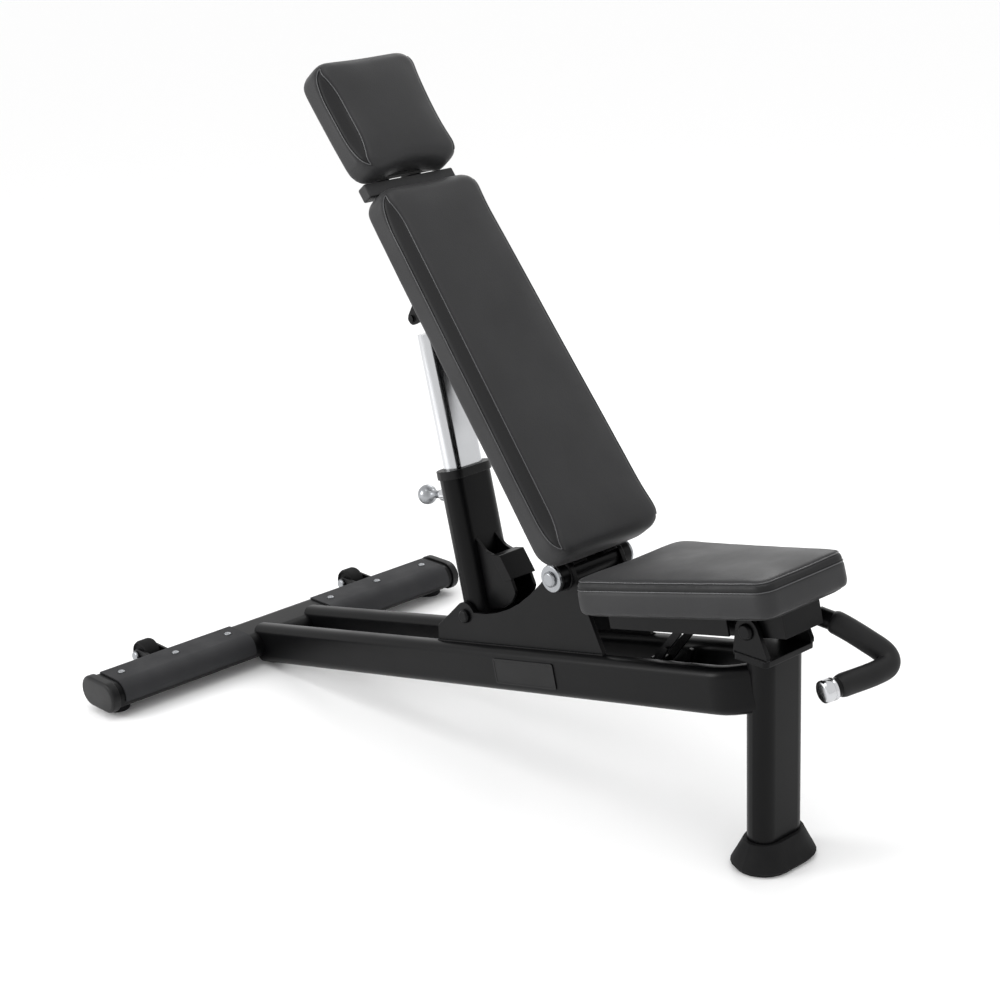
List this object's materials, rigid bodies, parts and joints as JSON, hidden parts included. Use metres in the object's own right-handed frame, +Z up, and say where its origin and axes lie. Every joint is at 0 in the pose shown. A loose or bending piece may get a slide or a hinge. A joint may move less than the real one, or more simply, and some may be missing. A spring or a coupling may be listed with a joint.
{
  "type": "adjustable weight bench",
  "caption": "Padded exercise bench with a tilting seat and a reclining backrest on a telescopic strut, standing on a front post and a rear stabilizer bar with transport wheels.",
  "frame": {"origin": "centre of the bench's outer box, on the floor", "axes": "+X towards the seat end along the bench, +Y to the left of a person seated facing +X, +Z up"},
  "size_m": [1.5274, 0.852, 1.1787],
  "materials": {
    "paint": "satin black powder coat",
    "rubber": "moulded black rubber",
    "plastic": "moulded black plastic",
    "vinyl": "dark grey embossed upholstery vinyl",
    "guard": "dark grey textured guard sheet",
    "chrome": "bright chrome and zinc plate",
    "board": "plywood under black backing cloth"
  },
  "bodies": {
    "frame": {"front_post": "paint", "post_top_plate": "paint", "seat_lug_left": "paint", "seat_lug_right": "paint", "stabilizer_tube": "paint", "wheel_fork_left": "paint", "wheel_fork_right": "paint", "rail_left": "paint", "rail_right": "paint", "side_plate_left": "paint", "side_plate_right": "paint", "axle_housing_left": "paint", "axle_housing_right": "paint", "strut_bolt_left": "paint", "strut_bolt_right": "paint", "seat_rack": "paint", "rack_prong_left": "paint", "rack_prong_right": "paint", "seat_pivot_bolt": "paint", "handle_tube": "paint", "front_boot": "rubber", "foot_pad_left": "rubber", "foot_pad_right": "rubber", "handle_grip": "rubber", "end_cap_left": "plastic", "end_cap_right": "plastic", "badge_plate": "plastic", "guard_left": "guard", "guard_right": "guard", "wheel_axle_left": "chrome", "wheel_axle_right": "chrome", "back_axle": "chrome", "axle_washer_left": "chrome", "axle_washer_right": "chrome", "axle_bolt_left": "chrome", "axle_bolt_right": "chrome", "handle_cap": "chrome"},
    "wheel_left": {"wheel_left": "rubber"},
    "wheel_right": {"wheel_right": "rubber"},
    "strut_sleeve": {"strut_sleeve": "paint", "sleeve_collar": "plastic", "pin_housing": "chrome", "rest_bracket": "paint"},
    "strut_bar": {"strut_bar": "chrome"},
    "pull_pin": {"pull_pin": "chrome"},
    "backrest": {"back_hinge_tube": "paint", "back_rail_left": "paint", "back_rail_right": "paint", "clevis_left": "paint", "clevis_right": "paint", "back_cross": "paint", "neck_board": "vinyl", "back_board": "board", "back_pad": "vinyl", "head_board": "board", "head_pad": "vinyl"},
    "seat": {"seat_channel": "paint", "seat_board": "board", "seat_pad": "vinyl"},
    "prop": {"prop_link": "paint"}
  },
  "joints": [
    {"name": "back_recline", "type": "hinge", "parent": "frame", "child": "backrest", "pos_m": [0.21728, 0, 0.389], "axis": [0, 1, 0], "range_deg": [-52, 23]},
    {"name": "strut_swing", "type": "hinge", "parent": "frame", "child": "strut_sleeve", "pos_m": [-0.02272, 0, 0.253], "axis": [0, 1, 0], "range_deg": [-51, 23]},
    {"name": "strut_slide", "type": "slide", "parent": "strut_sleeve", "child": "strut_bar", "axis": [-0.2215, 0, 0.9751], "range_m": [-0.234, 0.104]},
    {"name": "pin_pull", "type": "slide", "parent": "strut_sleeve", "child": "pull_pin", "axis": [-0.9751, 0, -0.2215], "range_m": [0, 0.015], "stiffness_N_per_m": 500},
    {"name": "seat_tilt", "type": "hinge", "parent": "frame", "child": "seat", "pos_m": [0.60128, 0, 0.395], "axis": [0, 1, 0], "range_deg": [0, 12.5]},
    {"name": "prop_swing", "type": "hinge", "parent": "seat", "child": "prop", "pos_m": [0.4544, 0, 0.36449], "axis": [0, 1, 0], "range_deg": [-37, 0]},
    {"name": "wheel_left_spin", "type": "hinge", "parent": "frame", "child": "wheel_left", "pos_m": [-0.73672, 0.253, 0.043], "axis": [0, 1, 0], "continuous": true},
    {"name": "wheel_right_spin", "type": "hinge", "parent": "frame", "child": "wheel_right", "pos_m": [-0.73672, -0.253, 0.043], "axis": [0, 1, 0], "continuous": true}
  ],
  "couplings": [
    {"joint": "strut_swing", "follows": "back_recline", "ratio": 0.97},
    {"joint": "strut_slide", "follows": "back_recline", "m_per_rad": 0.25497},
    {"joint": "prop_swing", "follows": "seat_tilt", "ratio": -2.915}
  ]
}
